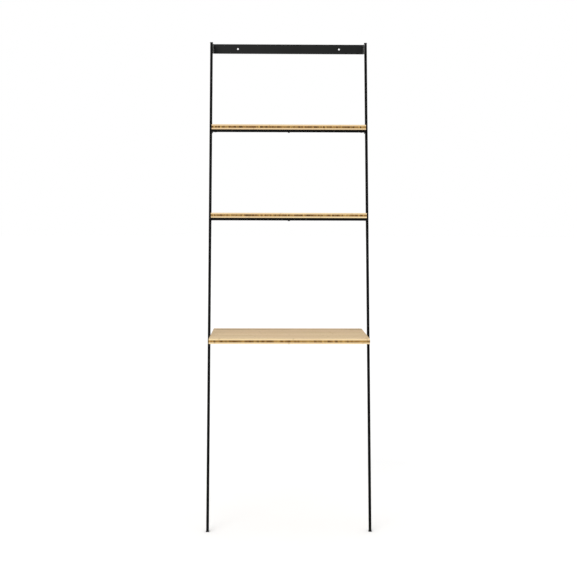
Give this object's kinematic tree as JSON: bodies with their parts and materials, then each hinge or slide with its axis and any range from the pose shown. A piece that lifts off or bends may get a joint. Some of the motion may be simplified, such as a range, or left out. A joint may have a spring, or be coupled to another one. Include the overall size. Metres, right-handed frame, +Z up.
{
  "type": "ladder shelf",
  "caption": "Leaning ladder shelf with slim square-tube posts, narrow bamboo shelves, a deep bamboo desk board and a bent steel wall bracket.",
  "frame": {"origin": "on the floor, in the middle of the overall width and depth", "axes": "+X to the right as seen from the front, +Y towards the wall, +Z up"},
  "size_m": [0.612, 0.4, 1.838],
  "materials": {
    "powder_coat": "fine matt black powder coat",
    "bamboo_face": "clear satin lacquer on pale bamboo strips",
    "bamboo_core": "clear satin lacquer on darker cross-laid bamboo strips, end grain showing",
    "black_hardware": "black oxide on machine screws",
    "zinc_hardware": "bright zinc plate",
    "black_plastic": "matt black nylon"
  },
  "bodies": {
    "root": {"left_post": "powder_coat", "right_post": "powder_coat", "left_foot": "black_plastic", "right_foot": "black_plastic", "left_post_cap": "black_plastic", "right_post_cap": "black_plastic", "left_weld_beads": "powder_coat", "right_weld_beads": "powder_coat", "post_bushes": "zinc_hardware", "wall_bracket": "powder_coat", "bracket_bolts": "black_hardware", "upper_shelf_board": "bamboo_face", "upper_front_rail": "powder_coat", "upper_left_arm": "powder_coat", "upper_right_arm": "powder_coat", "upper_rail_plugs": "zinc_hardware", "upper_rail_screws": "black_hardware", "upper_board_screws": "black_hardware", "middle_shelf_board": "bamboo_face", "middle_front_rail": "powder_coat", "middle_left_arm": "powder_coat", "middle_right_arm": "powder_coat", "middle_rail_plugs": "zinc_hardware", "middle_rail_screws": "black_hardware", "middle_board_screws": "black_hardware", "desk_board": "bamboo_face", "desk_front_rail": "powder_coat", "desk_back_rail": "powder_coat", "desk_left_arm": "powder_coat", "desk_right_arm": "powder_coat", "desk_rail_plugs": "zinc_hardware", "desk_rail_screws": "black_hardware", "desk_board_screws": "black_hardware"}
  },
  "joints": []
}
